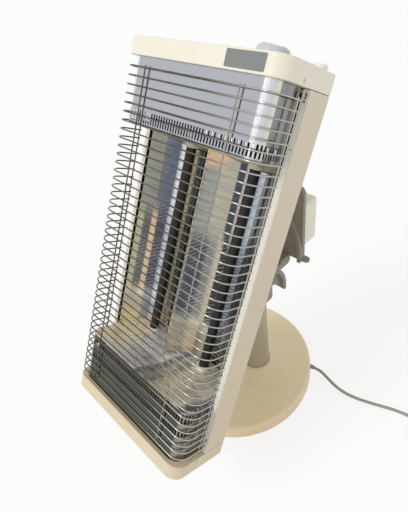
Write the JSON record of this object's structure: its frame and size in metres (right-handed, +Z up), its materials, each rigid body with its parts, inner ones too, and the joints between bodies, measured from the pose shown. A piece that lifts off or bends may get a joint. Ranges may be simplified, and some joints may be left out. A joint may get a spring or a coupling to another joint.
{
  "type": "far infrared heater",
  "caption": "Standing far infrared heater: tall tilting head with twin black tubes behind a wire guard, on a swinging neck over a round base.",
  "frame": {"origin": "centre of the round base on the floor", "axes": "+Z up; the head faces -Y as pictured; +X is to the viewer's right of the head"},
  "size_m": [0.697, 0.6041, 0.7114],
  "materials": {
    "cream_plastic": "satin",
    "base_plastic": "satin",
    "cream_steel": "satin",
    "grey_plastic": "satin",
    "dial_plastic": "satin",
    "pole_paint": "satin",
    "mirror_sheet": "polished",
    "wire_chrome": "polished",
    "black_tube": "matt coated",
    "ceramic": "glazed",
    "steel": "plated",
    "ballast": "raw",
    "brass": "plain",
    "rubber": "matt",
    "cord_sheath": "satin",
    "board": "matt",
    "black_plastic": "matt",
    "label_grey": "satin"
  },
  "bodies": {
    "base": {"base_cover": "base_plastic", "base_plate": "base_plastic", "base_weight": "ballast", "rubber_feet": "rubber", "base_screws": "steel", "motor_bracket": "steel", "swing_motor": "steel", "pole_bearing": "black_plastic", "pole_retainer": "steel", "tip_over_switch": "black_plastic", "terminal_block": "black_plastic", "base_lead": "cord_sheath", "cord_gland": "cord_sheath", "power_cord": "cord_sheath", "cord_coil": "cord_sheath", "cord_tie": "black_plastic", "plug_lead": "cord_sheath", "plug_body": "cord_sheath", "plug_blades": "brass"},
    "column": {"pole": "pole_paint", "pole_lead": "cord_sheath", "pole_flange": "steel", "slip_clutch": "black_plastic", "neck_core": "grey_plastic", "neck_housing": "grey_plastic", "rear_cover": "cream_plastic", "cover_screws": "steel", "swing_board": "board", "lower_cord_hook": "grey_plastic", "tilt_pin": "steel"},
    "bracket": {"tilt_bracket": "steel", "turntable_spindle": "steel", "spindle_nut": "steel"},
    "head": {"turntable_ring": "steel", "pivot_plate": "steel", "turntable_screws": "steel", "head_case": "cream_steel", "back_panel": "cream_steel", "case_screws": "steel", "bottom_cap": "cream_plastic", "top_cap": "cream_plastic", "lower_shield": "mirror_sheet", "upper_shield": "mirror_sheet", "lower_deflector": "mirror_sheet", "upper_deflector": "mirror_sheet", "reflector": "mirror_sheet", "left_heater_tube": "black_tube", "right_heater_tube": "black_tube", "ceramic_rings": "ceramic", "tube_terminals": "steel", "tube_clips": "steel", "wire_guard": "wire_chrome", "label_plate": "label_grey", "control_board": "board", "thermal_cutout": "steel", "head_wiring": "black_plastic", "dial_switch": "black_plastic", "power_switch": "black_plastic"},
    "dial": {"control_dial": "dial_plastic"},
    "button": {"power_button": "cream_plastic"}
  },
  "joints": [
    {"name": "swing", "type": "hinge", "parent": "base", "child": "column", "pos_m": [0.04607, 0.0299, 0.03], "axis": [0, 0, 1], "range_deg": [-117, 3]},
    {"name": "tilt", "type": "hinge", "parent": "column", "child": "bracket", "pos_m": [0.04607, -0.03229, 0.3795], "axis": [-1, 0, 0], "range_deg": [-28, 1.5]},
    {"name": "turn", "type": "hinge", "parent": "bracket", "child": "head", "pos_m": [0.04607, -0.04547, 0.38667], "axis": [0, -0.8784, 0.4779], "range_deg": [0, 90]},
    {"name": "dial_turn", "type": "hinge", "parent": "head", "child": "dial", "pos_m": [0.10957, 0.03322, 0.68823], "axis": [0, 0.4779, 0.8784], "range_deg": [-270, 0]},
    {"name": "button_press", "type": "slide", "parent": "head", "child": "button", "axis": [0, -0.4779, -0.8784], "range_m": [0, 0.003], "stiffness_N_per_m": 400, "springref_m": -0.001}
  ]
}
